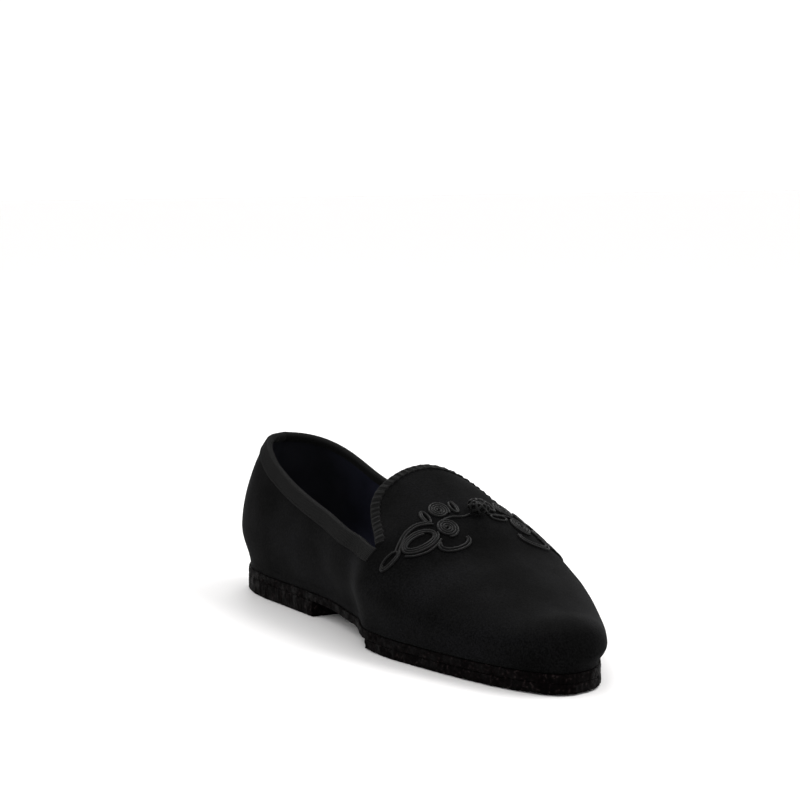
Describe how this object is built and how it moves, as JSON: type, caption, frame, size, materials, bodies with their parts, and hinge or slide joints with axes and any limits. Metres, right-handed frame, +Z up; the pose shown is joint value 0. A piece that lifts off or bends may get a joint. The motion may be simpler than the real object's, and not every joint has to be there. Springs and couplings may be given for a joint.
{
  "type": "velvet slipper loafer",
  "caption": "Low slip-on shoe in dark velvet with a bound collar, a domed tongue, braided scroll fastening over the vamp, thin outsole, half sole and low heel.",
  "frame": {"origin": "on the floor, under the centre of the shoe's bounding box", "axes": "+X from heel to toe, +Y to the outer side of this left shoe, +Z up"},
  "size_m": [0.292, 0.1008, 0.0772],
  "materials": {
    "velvet": "black velvet with a short nap",
    "ribbon": "ribbed black ribbon",
    "braid": "black double-ridged braid",
    "insole": "dark blue lining leather",
    "sole_leather": "rough dark edge",
    "sole_rubber": "rough dark edge"
  },
  "bodies": {
    "root": {"upper": "velvet", "collar_binding": "ribbon", "tongue_binding": "ribbon", "insole": "insole", "outsole": "sole_leather", "half_sole": "sole_rubber", "heel_lift": "sole_rubber", "frog_inner_tip": "braid", "frog_inner_leaf": "braid", "frog_inner_scroll_back": "braid", "frog_inner_scroll_front": "braid", "frog_inner_bow_far": "braid", "frog_inner_bow_near": "braid", "frog_inner_petal": "braid", "frog_outer_tip": "braid", "frog_outer_leaf": "braid", "frog_outer_scroll_back": "braid", "frog_outer_scroll_front": "braid", "frog_outer_bow_far": "braid", "frog_outer_bow_near": "braid", "frog_outer_petal": "braid", "frog_loop": "braid", "frog_knot": "braid"}
  },
  "joints": []
}
